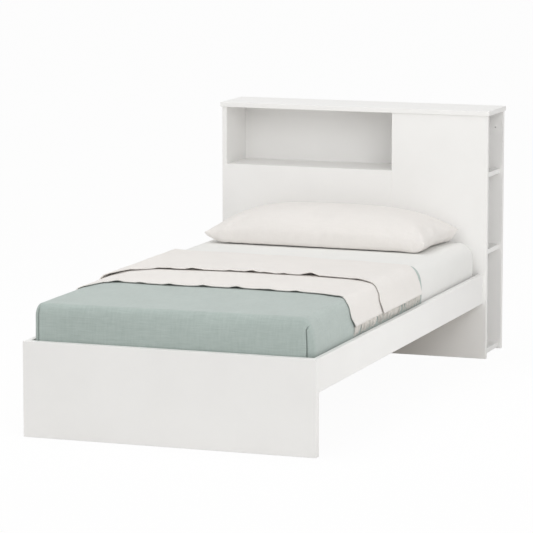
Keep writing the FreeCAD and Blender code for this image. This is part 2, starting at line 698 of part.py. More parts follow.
# ============================================================ check and write
doc.recompute()
for obj in doc.Objects:
    if {"Invalid", "Error"} & set(obj.State):
        raise RuntimeError(f"{obj.Label} failed: {obj.State}")
for obj in PARTS:
    if obj.Shape.isNull() or not obj.Shape.isValid() or not obj.Shape.Solids:
        raise RuntimeError("no good solid in " + obj.Label)

os.makedirs("parts", exist_ok=True)
for obj in PARTS:
    obj.Shape.exportStep(os.path.join("parts", obj.Label + ".step"))
print(len(PARTS), "sub-parts,", sum(len(obj.Shape.Solids) for obj in PARTS), "solids")
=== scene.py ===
# %% [markdown]
# # A single bed with a bookcase headboard
# The frame is already built to size: boards, rails, slats, brackets and bolts. This notebook gives
# every board its finish and makes the bedding. Its places are read from the frame, so nothing has
# to be fitted afterwards.

# %% Load the frame
import json
import math

import bmesh
import bpy
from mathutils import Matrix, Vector, noise

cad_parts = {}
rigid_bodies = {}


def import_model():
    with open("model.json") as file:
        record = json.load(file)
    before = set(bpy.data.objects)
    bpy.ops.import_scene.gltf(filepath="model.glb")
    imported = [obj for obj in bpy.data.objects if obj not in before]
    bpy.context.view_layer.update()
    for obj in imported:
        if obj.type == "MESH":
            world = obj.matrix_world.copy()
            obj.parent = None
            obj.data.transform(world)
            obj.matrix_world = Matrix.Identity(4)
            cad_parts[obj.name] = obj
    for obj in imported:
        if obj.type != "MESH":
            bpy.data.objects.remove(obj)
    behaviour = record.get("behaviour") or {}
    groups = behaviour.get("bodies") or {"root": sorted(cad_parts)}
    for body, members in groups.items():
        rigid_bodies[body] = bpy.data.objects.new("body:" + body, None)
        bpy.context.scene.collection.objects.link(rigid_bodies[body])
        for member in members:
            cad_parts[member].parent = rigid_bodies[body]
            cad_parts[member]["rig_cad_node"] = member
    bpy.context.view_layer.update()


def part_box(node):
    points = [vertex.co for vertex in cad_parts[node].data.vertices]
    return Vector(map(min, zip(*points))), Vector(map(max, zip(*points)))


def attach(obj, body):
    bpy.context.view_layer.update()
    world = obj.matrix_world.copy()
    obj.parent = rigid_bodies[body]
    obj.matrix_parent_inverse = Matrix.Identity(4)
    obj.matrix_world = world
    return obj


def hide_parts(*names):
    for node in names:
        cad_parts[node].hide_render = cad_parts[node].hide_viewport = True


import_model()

bed_low, bed_high = (Vector(corner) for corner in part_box("mattress"))
DRAWN_IN = 0.005          # tucked bedding draws each side of the mattress in by this much
CROWNED = 0.005           # and its filling stands this much higher
bed_low.x += DRAWN_IN
bed_high.x -= DRAWN_IN
bed_high.z += CROWNED
print("mattress from", tuple(bed_low), "to", tuple(bed_high))

# %% [markdown]
# A few small rules come back in many pieces, so they are written once, here.


# %% Small rules
def keep_between(value, low, high):
    return max(low, min(high, value))


def mix(low, high, share):
    return low + (high - low) * share


def eased(share):
    """A share from 0 to 1 that starts and ends gently."""
    share = keep_between(share, 0, 1)
    return share * share * (3 - 2 * share)


def spaced(low, high, step):
    """Numbers from low to high, evenly spaced by about a step."""
    count = max(1, round((high - low) / step))
    return [low + (high - low) * i / count for i in range(count + 1)]


def wavy(*spot):
    """Smooth noise, mostly between -0.5 and 0.5, at a place given by three numbers."""
    return noise.noise(Vector(spot))


def placed(name, data):
    """A new object in the scene."""
    obj = bpy.data.objects.new(name, data)
    bpy.context.collection.objects.link(obj)
    return obj


# %% [markdown]
# ## Camera, floor and light
# The picture is taken from far away with a long lens, from a little right of the foot and a little
# above. A camera that is tilted down, and not shifted, keeps its framing when it is moved.

# %% Camera
CAMERA_SPOT = (3.870, -10.877, 2.188)
CAMERA_TURN = math.radians(19.79)
CAMERA_DROP = math.radians(8.555)
CAMERA_LENS = 218.94      # for a sensor 36 mm wide

lens = bpy.data.cameras.new("camera")
lens.lens = CAMERA_LENS
lens.sensor_width = 36
lens.clip_end = 100
camera = placed("camera", lens)
camera.location = CAMERA_SPOT
camera.rotation_euler = (math.pi / 2 - CAMERA_DROP, 0, CAMERA_TURN)
bpy.context.scene.camera = camera
bpy.context.scene.view_settings.view_transform = "Standard"
print("camera at", CAMERA_SPOT)

# %% [markdown]
# Node trees are easier to read when each node is one line. These helpers add a node, set its
# options, and fill its sockets with either a value or the output of another node.


# %% A node in one line
def fill(tree, target, sockets):
    for name, value in sockets.items():
        if isinstance(value, bpy.types.NodeSocket):
            tree.links.new(value, target.inputs[name])
        else:
            target.inputs[name].default_value = value


def node(tree, kind, sockets={}, **options):
    made = tree.nodes.new(kind)
    for name, value in options.items():
        setattr(made, name, value)
    fill(tree, made, sockets)
    return made


def first(tree, kind, sockets={}, **options):
    """The first output of a new node."""
    return node(tree, kind, sockets, **options).outputs[0]


def maths(tree, operation, a, b=0.0, c=0.0):
    return first(tree, "ShaderNodeMath", {0: a, 1: b, 2: c}, operation=operation)


# %% [markdown]
# The floor is pale and catches the bed's shadow. To the camera it is mostly plain white, mixed with
# a share of the lit floor, so that the shadow stays but is soft. The world does the same: white to
# the camera and in reflections, and a softer grey as the light that falls on the bed.


# %% Floor and backdrop
FLOOR_REACH = 30          # from the middle to each side
FLOOR_WHITE = 0.955       # share of plain white that the camera sees


def white_floor():
    material = bpy.data.materials.new("studio_floor")
    material.use_nodes = True
    tree = material.node_tree
    tree.nodes.clear()
    lit = first(tree, "ShaderNodeBsdfDiffuse", {"Color": (0.96, 0.955, 0.95, 1)})
    plain = first(tree, "ShaderNodeEmission", {"Color": (1, 1, 1, 1), "Strength": 1.0})
    path = node(tree, "ShaderNodeLightPath").outputs
    seen = maths(tree, "MULTIPLY", path["Is Camera Ray"], FLOOR_WHITE)
    mixed = first(tree, "ShaderNodeMixShader", {0: seen, 1: lit, 2: plain})
    node(tree, "ShaderNodeOutputMaterial", {"Surface": mixed})
    return material


floor_mesh = bpy.data.meshes.new("studio_floor")
floor_mesh.from_pydata([(x * FLOOR_REACH, y * FLOOR_REACH, 0) for x, y in
                        ((-1, -1), (1, -1), (1, 1), (-1, 1))], [], [(0, 1, 2, 3)])
floor = placed("studio_floor", floor_mesh)
floor.location.z = -0.001     # just under the feet
floor_mesh.materials.append(white_floor())

# %% World and lamps
WORLD_LIGHT = 0.58
world = bpy.data.worlds.new("studio")
bpy.context.scene.world = world
world.use_nodes = True
tree = world.node_tree
tree.nodes.clear()
path = node(tree, "ShaderNodeLightPath").outputs
open_view = maths(tree, "MAXIMUM", path["Is Camera Ray"], path["Is Glossy Ray"])
soft = first(tree, "ShaderNodeBackground", {"Color": (1, 0.995, 0.985, 1),
                                            "Strength": WORLD_LIGHT})
white = first(tree, "ShaderNodeBackground", {"Color": (1, 1, 1, 1), "Strength": 1.0})
both = first(tree, "ShaderNodeMixShader", {0: open_view, 1: soft, 2: white})
node(tree, "ShaderNodeOutputWorld", {"Surface": both})


def lamp(name, spot, aim, side, power):
    light = bpy.data.lights.new(name, "AREA")
    light.shape = "SQUARE"
    light.size = side
    light.energy = power
    holder = placed(name, light)
    holder.location = spot
    holder.rotation_euler = (Vector(aim) - Vector(spot)).to_track_quat("-Z", "Y").to_euler()
    holder.visible_camera = False


lamp("key_lamp", (4.2, -5.6, 3.8), (0, 0, 0.4), 3.0, 116)
lamp("top_lamp", (-0.8, 0.0, 5.0), (0, 0, 0.4), 3.6, 53)
lamp("head_lamp", (-0.5, -1.3, 2.1), (-0.1, 1.0, 0.76), 1.6, 8)
lamp("side_lamp", (2.1, -0.6, 0.5), (0.45, 1.0, 0.4), 0.8, 5)
print("four lamps and a soft world")

# %% [markdown]
# ## Finishes
# Each finish is a material with its own shader. What several finishes share, such as a weave or the
# grain of wood, is a node group that gives masks and heights, and each material uses them its way.


# %% Node groups: how one is started
def group_tree(name, inputs, outputs):
    """A node group with float inputs (a name and its usual value) and named float outputs."""
    tree = bpy.data.node_groups.new(name, "ShaderNodeTree")
    tree.interface.new_socket("Vector", in_out="INPUT", socket_type="NodeSocketVector")
    for label, usual in inputs.items():
        socket = tree.interface.new_socket(label, in_out="INPUT", socket_type="NodeSocketFloat")
        socket.default_value = usual
    for label in outputs:
        tree.interface.new_socket(label, in_out="OUTPUT", socket_type="NodeSocketFloat")
    return tree, tree.nodes.new("NodeGroupInput").outputs, tree.nodes.new("NodeGroupOutput")


def stretched(tree, vector, scale, start=0.0):
    return first(tree, "ShaderNodeMapping", {"Vector": vector, "Scale": scale,
                                             "Location": (start, start, 0.0)})


def scaled(tree, vector, by):
    return first(tree, "ShaderNodeVectorMath", {0: vector, "Scale": by}, operation="SCALE")


def speckle(tree, vector, scale, detail=3.0, roughness=0.55):
    return node(tree, "ShaderNodeTexNoise", {"Vector": vector, "Scale": scale, "Detail": detail,
                                             "Roughness": roughness}).outputs["Fac"]


# %% [markdown]
# Linen and cotton are plain weaves: threads go over and under in turn. The group works on a cloth
# map in metres. Two sine waves make the threads, and noise that is stretched along each direction
# makes slubs, which are the thicker places in a spun thread. Slubs are what shows from far away.

# %% Group: plain weave with slubs
weave, take, give = group_tree("plain_weave", {"Thread": 0.0012, "Slub length": 0.05},
                               ["Threads", "Slubs", "Mottle"])
parts = node(weave, "ShaderNodeSeparateXYZ", {0: take["Vector"]}).outputs
turn = maths(weave, "DIVIDE", math.pi, take["Thread"])
waves = [maths(weave, "SINE", maths(weave, "MULTIPLY", parts[axis], turn)) for axis in "XY"]
over = maths(weave, "GREATER_THAN", maths(weave, "MULTIPLY", *waves), 0.0)
warp, weft = (maths(weave, "ABSOLUTE", wave) for wave in waves)
threads = first(weave, "ShaderNodeMix", {0: over, 2: warp, 3: weft})
rate = maths(weave, "DIVIDE", 1.0, take["Slub length"])
loose = node(weave, "ShaderNodeTexNoise", {"Vector": take["Vector"], "Scale": 31.0})
shift = scaled(weave, loose.outputs["Color"], 0.006)
astray = first(weave, "ShaderNodeVectorMath", {0: take["Vector"], 1: shift}, operation="ADD")
slubs = [speckle(weave, stretched(weave, astray, way, start), rate, 4.0, 0.7) for way, start in (
    ((1.0, 11.0, 1.0), 0.0), ((8.0, 0.8, 1.0), 5.3), ((0.7, 23.0, 1.0), 9.1))]
weft_slubs = maths(weave, "MULTIPLY", maths(weave, "ADD", slubs[0], slubs[2]), 0.36)
fill(weave, give, {"Threads": threads,
                   "Slubs": maths(weave, "MULTIPLY_ADD", slubs[1], 0.28, weft_slubs),
                   "Mottle": speckle(weave, take["Vector"], 7.0, 4.0)})

# %% [markdown]
# Solid timber needs growth rings that run along the board. The group stretches the coordinates
# along the length, bends them with noise, and reads bands from them. The direction is turned with
# the vector that goes in, so slats and ledgers share the group.

# %% Group: grain of timber
grain, take, give = group_tree("timber_grain", {"Ring width": 0.012}, ["Rings", "Pores"])
bent = stretched(grain, take["Vector"], (0.08, 1.0, 1.0))
parts = node(grain, "ShaderNodeSeparateXYZ", {0: bent}).outputs
wander = maths(grain, "MULTIPLY", speckle(grain, bent, 9.0, 2.0), 0.06)
turned = maths(grain, "DIVIDE", maths(grain, "ADD", parts["Y"], wander), take["Ring width"])
fibres = stretched(grain, take["Vector"], (6.0, 500.0, 500.0))
fill(grain, give, {"Rings": maths(grain, "PINGPONG", maths(grain, "ADD", turned, parts["Z"]), 1.0),
                   "Pores": speckle(grain, fibres, 1.0, 2.0)})

# %% [markdown]
# A factory-faced board is not a perfect mirror-flat white: its foil has a fine pebble, and handling
# leaves broad, faint changes of gloss. Zinc plating and moulded nylon have the same kind of texture
# at other scales, so one group serves them all.

# %% Group: pebble and handling marks
pebble, take, give = group_tree("pebble_and_marks", {"Pebble": 900.0, "Marks": 5.0},
                                ["Pebble", "Marks"])
fill(pebble, give, {"Pebble": speckle(pebble, take["Vector"], take["Pebble"], 2.0),
                    "Marks": speckle(pebble, take["Vector"], take["Marks"], 5.0, 0.6)})
print("groups", [g.name for g in bpy.data.node_groups])


# %% A material and its masks
def finish(name):
    """An empty material: itself, its tree, its shader and its texture coordinates."""
    material = bpy.data.materials.new(name)
    material.use_nodes = True
    tree = material.node_tree
    return (material, tree, tree.nodes["Principled BSDF"],
            tree.nodes.new("ShaderNodeTexCoord").outputs)


def use_group(tree, group, sockets):
    return node(tree, "ShaderNodeGroup", sockets, node_tree=group).outputs


def between(tree, mask, low, high, start=0.3, end=0.7):
    """A value from low to high, by a mask whose useful middle is from start to end."""
    return first(tree, "ShaderNodeMapRange", {"Value": mask, "From Min": start, "From Max": end,
                                              "To Min": low, "To Max": high})


def shade(tree, mask, dark, light):
    """A colour between two, by a mask."""
    return node(tree, "ShaderNodeMix", {"Factor": between(tree, mask, 0.0, 1.0), 6: (*dark, 1),
                                        7: (*light, 1)}, data_type="RGBA").outputs[2]


def bump(tree, height, distance, strength=1.0):
    return first(tree, "ShaderNodeBump", {"Height": height, "Distance": distance,
                                          "Strength": strength})


# %% Hard finishes
def hard_finish(name, dark, light, rough, pebble_size, depth, marks=4.0, metal=0.0):
    material, tree, shader, where = finish(name)
    out = use_group(tree, pebble, {"Vector": where["Object"], "Pebble": pebble_size,
                                   "Marks": marks})
    fill(tree, shader, {"Base Color": shade(tree, out["Marks"], dark, light),
                        "Roughness": between(tree, out["Marks"], *rough),
                        "Normal": bump(tree, out["Pebble"], depth), "Metallic": metal})
    return material


BOARD_DARK = (0.862, 0.856, 0.842)
BOARD_LIGHT = (0.888, 0.882, 0.869)
white_board = hard_finish("white_board", BOARD_DARK, BOARD_LIGHT, (0.36, 0.50), 700, 0.00012)
zinc_steel = hard_finish("zinc_steel", (0.52, 0.53, 0.54), (0.72, 0.72, 0.71), (0.28, 0.5),
                         400, 0.0001, marks=60.0, metal=1.0)
glide_nylon = hard_finish("glide_nylon", (0.045, 0.045, 0.047), (0.07, 0.07, 0.072),
                          (0.45, 0.6), 900, 0.0001, marks=30.0)


# %% Timber finishes
def timber(name, dark, light, along, ring=0.012):
    """along is the turn that brings the length of the board onto X."""
    material, tree, shader, where = finish(name)
    turned = first(tree, "ShaderNodeMapping", {"Vector": where["Object"], "Rotation": along})
    out = use_group(tree, grain, {"Vector": turned, "Ring width": ring})
    pore_tone = between(tree, out["Pores"], 0.86, 1.0, 0.35, 0.6)
    fill(tree, shader, {
        "Base Color": scaled(tree, shade(tree, out["Rings"], dark, light), pore_tone),
        "Roughness": between(tree, out["Pores"], 0.72, 0.55),
        "Normal": bump(tree, out["Pores"], 0.0002)})
    return material


ALONG_X = (0, 0, 0)
ALONG_Y = (0, 0, math.pi / 2)
ALONG_Z = (0, math.pi / 2, 0)
slat_pine = timber("slat_pine", (0.64, 0.51, 0.36), (0.80, 0.70, 0.54), ALONG_X)
frame_pine = timber("frame_pine", (0.62, 0.48, 0.33), (0.78, 0.67, 0.50), ALONG_Y, 0.016)
leg_pine = timber("leg_pine", (0.62, 0.48, 0.33), (0.78, 0.67, 0.50), ALONG_Z)
dowel_beech = timber("dowel_beech", (0.55, 0.36, 0.22), (0.70, 0.50, 0.34), ALONG_Z, 0.004)


# %% Cloth finishes
def cloth(name, dark, light, thread, slub_length, slub_depth, sheen, mottle=0.03, mapped=True):
    """Woven cloth. Pieces with a cloth map use it; a stuffed piece uses object coordinates."""
    material, tree, shader, where = finish(name)
    out = use_group(tree, weave, {"Vector": where["UV" if mapped else "Object"],
                                  "Thread": thread, "Slub length": slub_length})
    cloud = between(tree, out["Mottle"], 1.0 - mottle, 1.0 + mottle)
    raised = maths(tree, "ADD", maths(tree, "MULTIPLY", out["Slubs"], slub_depth),
                   maths(tree, "MULTIPLY", out["Threads"], 0.25))
    fill(tree, shader, {
        "Base Color": scaled(tree, shade(tree, out["Slubs"], dark, light), cloud),
        "Roughness": between(tree, out["Slubs"], 0.85, 0.77),
        "Normal": bump(tree, raised, thread * 0.5, 0.8),
        "Sheen Weight": sheen, "Sheen Roughness": 0.5, "Specular IOR Level": 0.3})
    return material


coverlet_weave = cloth("coverlet_weave", (0.340, 0.408, 0.382), (0.500, 0.570, 0.541),
                       0.0016, 0.060, 1.4, 0.40)
throw_weave = cloth("throw_weave", (0.815, 0.785, 0.755), (0.875, 0.848, 0.820),
                    0.0014, 0.040, 0.9, 0.10, mottle=0.012)
# The fringe yarn's tone varies, and its dark end, about half the light one, is painted shade for
# the dark streaks between clumps of strands.
fringe_yarn_and_shade = cloth("fringe_yarn_and_shade", (0.44, 0.415, 0.38), (0.88, 0.85, 0.81),
                    0.0010, 0.060, 0.6, 0.10, mapped=False)
sheet_cotton = cloth("sheet_cotton", (0.830, 0.828, 0.808), (0.864, 0.861, 0.842),
                     0.0006, 0.030, 0.5, 0.05, mottle=0.01)
mattress_ticking = cloth("mattress_ticking", (0.70, 0.69, 0.66), (0.78, 0.77, 0.74),
                         0.0010, 0.020, 1.0, 0.05, mapped=False)
strap_webbing = cloth("strap_webbing", (0.70, 0.69, 0.66), (0.80, 0.79, 0.76),
                      0.0018, 0.010, 1.2, 0.0, mapped=False)
pillow_linen = cloth("pillow_linen", (0.790, 0.762, 0.735), (0.850, 0.822, 0.796),
                     0.0009, 0.030, 0.9, 0.10, mottle=0.012, mapped=False)
print("materials", len(bpy.data.materials))

# %% [markdown]
# ## The frame's own pieces
# The boards, slats and fittings keep their shapes, and only need a finish in their material slots.
# A row of name beginnings is enough, because the pieces have plain names.

# %% Finish every rigid piece
FINISHES = {
    "slat_strap": strap_webbing, "slat_ledger": frame_pine, "slat_": slat_pine,
    "centre_beam": frame_pine, "centre_leg": leg_pine, "leg_glides": glide_nylon,
    "beam_hanger": zinc_steel, "corner_bracket": zinc_steel, "bracket_bolts": zinc_steel,
    "cam_": zinc_steel, "dowels": dowel_beech,
}
SOFT = {"mattress", "fitted_sheet", "coverlet", "throw_blanket", "pillow"}

rigid = [o for o in bpy.context.scene.objects if o.get("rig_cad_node") not in (None, *SOFT)]
for piece in rigid:
    label = piece["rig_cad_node"]
    chosen = next((m for start, m in FINISHES.items() if label.startswith(start)), white_board)
    for place in piece.material_slots:
        place.material = chosen
print("rigid pieces finished:", len(rigid))

# %% [markdown]
# The visual model also has pieces that the frame lacks. Many small ones are rings of points with
# walls between them and a cap at each end, so one helper makes them all, and a second one puts a
# finished mesh in the scene, on the body that it moves with.


# %% New meshes and pieces
def as_mesh(made, name):
    mesh = bpy.data.meshes.new(name)
    made.to_mesh(mesh)
    made.free()
    return mesh


def ringed(name, rings):
    """A closed mesh: walls between rings of points, and a cap on the first and the last."""
    made = bmesh.new()
    rings = [[made.verts.new(spot) for spot in ring] for ring in rings]
    for upper, lower in zip(rings, rings[1:]):
        for i in range(len(upper)):
            j = (i + 1) % len(upper)
            made.faces.new((upper[i], upper[j], lower[j], lower[i]))
    made.faces.new(rings[0])
    made.faces.new(list(reversed(rings[-1])))
    bmesh.ops.recalc_face_normals(made, faces=made.faces)
    return as_mesh(made, name)


def new_piece(name, mesh, material, body):
    """Put a finished mesh in the scene, on its body."""
    obj = placed(name, mesh)
    mesh.materials.clear()
    mesh.materials.append(material)
    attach(obj, body)
    return obj


# %% [markdown]
# The two front panels of the headboard are butted with a strip of the boards' own edge tape between
# them, so that their joint is hard to see. The strip is a thin bar with a rounded nose, set a third
# of a millimetre behind the faces.


# %% Edge tape in the headboard's joint
TAPE_SET_BACK = 0.0003
TAPE_ROUND = 0.0002
TAPE_DEPTH = 0.012


def edge_tape():
    left_face, right_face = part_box("lower_front_panel")[1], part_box("tall_front_panel")[0]
    low_x, high_x, front = left_face.x, right_face.x, right_face.y + TAPE_SET_BACK
    outline = [(low_x, front + TAPE_ROUND), (mix(low_x, high_x, 0.25), front),
               (mix(low_x, high_x, 0.75), front), (high_x, front + TAPE_ROUND),
               (high_x, front + TAPE_DEPTH), (low_x, front + TAPE_DEPTH)]
    return ringed("joint_tape", [[(x, y, z) for x, y in outline]
                                 for z in (0.002, left_face.z - 0.0005)])


tape = new_piece("joint_tape", edge_tape(), white_board, "frame")
print("edge tape faces", len(tape.data.polygons))

# %% [markdown]
# ## Cloth that lies on a mattress
# A fitted sheet, a coverlet and a throw all take the mattress's shape. Each starts as a grid on a
# sharp-edged box. Every point is then pulled onto a rounded box: the box shrinks to a core, and the
# point goes out from the core by the radius of the edge. A soft edge is rounder down than across,
# and less round on the left, where the bedding is drawn tight, and at the head, where only the
# sheet holds it. Last, the point is lifted by the layers below it. One rule serves every layer, so
# none cuts the next.

# %% The rounded box
ROUND_LEFT = Vector((0.022, 0.022, 0.040))        # across, along and down
ROUND_RIGHT = Vector((0.045, 0.045, 0.100))
ROUND_HEAD = Vector((0.055, 0.040, 0.050))
HEAD_PART = (0.10, 0.60)                          # along the bed, where the head's begins and holds


def edge_radii(spot):
    rightness = eased((spot.x - bed_low.x) / (bed_high.x - bed_low.x))
    headness = eased((spot.y - HEAD_PART[0]) / (HEAD_PART[1] - HEAD_PART[0]))
    return ROUND_LEFT.lerp(ROUND_RIGHT.lerp(ROUND_HEAD, headness), rightness)


def over_mattress(spot, lift, lowest=-1.0):
    """The place over the rounded mattress for a point of the sharp box, lifted off it.

    Below lowest the box is rounded again, as the mattress itself is at its underside.
    """
    radii = edge_radii(spot)
    core = Vector((keep_between(spot.x, bed_low.x + radii.x, bed_high.x - radii.x),
                   keep_between(spot.y, bed_low.y + radii.y, bed_high.y - radii.y),
                   keep_between(spot.z, lowest, bed_high.z - radii.z)))
    if spot.z <= core.z:
        radii.z = lowest - bed_low.z
    share = Vector(gap / radius for gap, radius in zip(spot - core, radii)).normalized()
    normal = Vector(s / radius for s, radius in zip(share, radii)).normalized()
    return core + Vector(s * radius for s, radius in zip(share, radii)) + normal * lift


def stations(low, high, turn, fine, coarse, extra=()):
    """Grid lines from low to high, closer together within turn of either end."""
    lines = spaced(low, low + turn, fine)[:-1] + spaced(low + turn, high - turn, coarse)[:-1]
    lines += spaced(high - turn, high, fine)[:-1] + [high]
    lines += [x for x in extra if all(abs(x - line) > 0.0004 for line in lines)]
    return sorted(lines)


# %% [markdown]
# Panels of a cloth share the points along their edges. The points are kept under their place on
# the sharp box, so a point that two panels ask for is made once. The cloth map is in metres, so
# that threads keep their real width.


# %% A mesh with a cloth map
def mapped_mesh(name, points, faces, chart):
    """A smooth mesh with a cloth map; chart has a flat place for each corner of each face."""
    made = bpy.data.meshes.new(name)
    made.from_pydata(points, [], faces)
    for corner, place in zip(made.uv_layers.new(name="cloth_map").data, chart):
        corner.uv = place
    made.polygons.foreach_set("use_smooth", [True] * len(faces))
    return made


# %% Panels that share their points
class Cloth:
    def __init__(self):
        self.points, self.faces, self.map, self.index = [], [], [], {}

    def point(self, spot):
        key = tuple(round(c, 5) for c in spot)
        if key not in self.index:
            self.index[key] = len(self.points)
            self.points.append(Vector(spot))
        return self.index[key]

    def panel(self, ones, others, spot, chart, flip=False):
        """A grid over two rows of stations; spot places a point and chart maps it flat."""
        for a, b in zip(ones, ones[1:]):
            for c, d in zip(others, others[1:]):
                ring = [(a, c), (b, c), (b, d), (a, d)]
                if flip:
                    ring.reverse()
                self.faces.append([self.point(spot(*pair)) for pair in ring])
                self.map.extend(chart(*pair) for pair in ring)

    def mesh(self, name, settle):
        return mapped_mesh(name, [settle(p) for p in self.points], self.faces, self.map)


def thicken(obj, thickness):
    solid = obj.modifiers.new("thickness", "SOLIDIFY")
    solid.thickness = thickness
    solid.offset = 0
    solid.use_even_offset = False


# %% Covers over the box
EDGE_ZONE = 0.055         # so near to an edge the grid is finer


def box_mesh(name, xs, ys, zs, sides, settle):
    """Panels over sides of the sharp box, with a cloth map that unfolds them round the top."""
    (left, foot, low), (right, head, top) = bed_low, bed_high
    panels = {
        "top": (xs, ys, lambda x, y: (x, y, top), lambda x, y: (x, y), False),
        "right": (zs, ys, lambda z, y: (right, y, z), lambda z, y: (right + top - z, y), True),
        "left": (zs, ys, lambda z, y: (left, y, z), lambda z, y: (left - top + z, y), False),
        "foot": (xs, zs, lambda x, z: (x, foot, z), lambda x, z: (x, foot - top + z), False),
        "head": (xs, zs, lambda x, z: (x, head, z), lambda x, z: (x, head + top - z), True),
        "bottom": (xs, ys, lambda x, y: (x, y, low), lambda x, y: (x, y), True),
    }
    made = Cloth()
    for side in sides:
        made.panel(*panels[side])
    return made.mesh(name, settle)


def bedcloth(name, hem, head, material, settle, thickness, fine=0.006, coarse=0.012, extra=()):
    """A cover down to hem and up the bed to head, with its flat size and its flat area.

    Flat, it is a rectangle without the squares at the corners that it turns down over.
    """
    rows = stations(hem, bed_high.z, EDGE_ZONE, fine, fine)
    across = stations(bed_low.x, bed_high.x, EDGE_ZONE, fine, coarse, extra)
    along = stations(bed_low.y, head, EDGE_ZONE, fine, coarse)
    sides = ["top", "right", "left", "foot"] + ["head"] * (head >= bed_high.y)
    mesh = box_mesh(name, across, along, rows, sides, settle)
    obj = new_piece(name, mesh, material, "mattress")
    thicken(obj, thickness)
    drop, ends = bed_high.z - hem, len(sides) - 3
    flat = (bed_high.x - bed_low.x + 2 * drop, head - bed_low.y + ends * drop)
    print(name, "flat size", flat)
    return obj, flat, flat[0] * flat[1] - 2 * ends * drop * drop


# %% [markdown]
# At each foot corner the coverlet's side is wrapped round and folded in, which leaves one dark
# upright crease on the foot face. The crease is a narrow groove in the coverlet. The sheet and the
# mattress give way under it in a wider hollow, so that they don't show through.

# %% The folds at the foot corners
FOLD_LINES = (-0.4765, 0.478)
FOLD_REACH = 0.78         # share of the rounding that the fold climbs before it ends


def foot_fold(spot, width):
    """How deep in a fold a point is, from 0 to 1, for a fold of this half width."""
    onto_top = (spot.y - bed_low.y) / edge_radii(spot).y
    if onto_top > 1 or (onto_top > 1e-6 and spot.z < bed_high.z - 1e-6):
        return 0.0
    gap = min(abs(spot.x - line) for line in FOLD_LINES) / width
    return (1 - eased(onto_top / FOLD_REACH)) * math.exp(-gap * gap)


# %% [markdown]
# ## Mattress
# A foam and spring mattress has a quilted cover. Almost all of it is under the sheet, so a rounded
# block is enough. The block is a box whose points are settled over the core as the sheets' are, but
# with a rounded underside too.

# %% Mattress
UNDERSIDE_ROUND = 0.020
BELOW_SHEET = 0.0004
HOLLOW_DEPTH = 0.016      # how far the mattress and the sheet give way under a corner fold
HOLLOW_WIDTH = 0.014


def block_point(spot):
    """A point of a block that is rounded on every edge, a little inside the sheet."""
    hollow = HOLLOW_DEPTH * foot_fold(spot, HOLLOW_WIDTH)
    return over_mattress(spot, -BELOW_SHEET - hollow, bed_low.z + UNDERSIDE_ROUND)


xs, ys, zs = (stations(low, high, 0.05, 0.005, step)
              for low, high, step in zip(bed_low, bed_high, (0.05, 0.05, 0.01)))
block = box_mesh("mattress_block", xs, ys, zs,
                 ["bottom", "top", "left", "right", "foot", "head"], block_point)
mattress = new_piece("mattress_block", block, mattress_ticking, "mattress")
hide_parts("mattress")
print("mattress faces", len(mattress.data.polygons))

# %% [markdown]
# ## Fitted sheet
# A fitted sheet is pulled tight over the mattress and held by elastic under it. It shows only at
# the head end, where it is smooth on top and has small drag lines on its side. Noise along the way
# out makes them; it fades near the hem so that the sheet stays clear of the frame.

# %% Fitted sheet
SHEET_HEM = bed_low.z + 0.004
SHEET_THICKNESS = 0.0012
SHEET_LIFT = 0.0011
DRAG_HEIGHT = 0.0006


def settle_sheet(spot):
    drag = wavy(spot.y * 16, spot.z * 5, spot.x * 2) * DRAG_HEIGHT
    drag *= keep_between((spot.z - SHEET_HEM) / 0.05, 0, 1)
    lift = SHEET_LIFT + max(drag, -0.0003) - HOLLOW_DEPTH * foot_fold(spot, HOLLOW_WIDTH)
    return over_mattress(spot, lift)


sheet, flat, area = bedcloth("fitted_sheet_cloth", SHEET_HEM, bed_high.y, sheet_cotton,
                             settle_sheet, SHEET_THICKNESS)
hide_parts("fitted_sheet")

# %% [markdown]
# ## Coverlet
# The coverlet is tucked between the mattress and the frame. Broad, low swellings keep its faces
# from looking like a box's, and the folds at the foot corners are grooves in the mesh, so that they
# shade themselves.

# %% Coverlet
COVER_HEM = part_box("coverlet")[0][2]
COVER_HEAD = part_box("coverlet")[1][1] + 0.024     # its head edge is pulled up a little
COVER_LIFT = 0.0031
COVER_THICKNESS = 0.0020
FOLD_DEPTH = 0.0155
FOLD_WIDTH = 0.0030
HEAD_SLANT = 0.020        # the head edge comes this far down the bed at the hem
SWELLINGS = ((9, 0.0007), (28, 0.0003))           # how many in a metre, and how high
LIPS = (0.012, 0.0016)                            # beside a fold: how wide, and how high


def settle_coverlet(spot):
    soft = sum(high * noise.noise(spot * many) for many, high in SWELLINGS)
    soft *= keep_between((spot.z - COVER_HEM) / 0.06, 0, 1)
    lift = COVER_LIFT + max(soft, -0.0006)
    lift += LIPS[1] * foot_fold(spot, LIPS[0]) - FOLD_DEPTH * foot_fold(spot, FOLD_WIDTH)
    slant = HEAD_SLANT * eased((bed_high.z - spot.z) / 0.13)
    spot = spot - Vector((0, slant * eased((spot.y - COVER_HEAD + 0.3) / 0.3), 0))
    return over_mattress(spot, lift)


fold_lines = [line + step * 0.0010 for line in FOLD_LINES for step in range(-6, 7)]
coverlet, flat, area = bedcloth("coverlet_cloth", COVER_HEM, COVER_HEAD, coverlet_weave,
                                settle_coverlet, COVER_THICKNESS, 0.0055, 0.011, fold_lines)
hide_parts("coverlet")

# %% [markdown]
# ## Throw
# The throw is folded once, with the fold towards the head and its upper half set back, so that two
# free edges show. It is one strip that runs up the bed, turns over and comes back. It is laid a
# little askew, so its edges are given as distances that change across the bed.

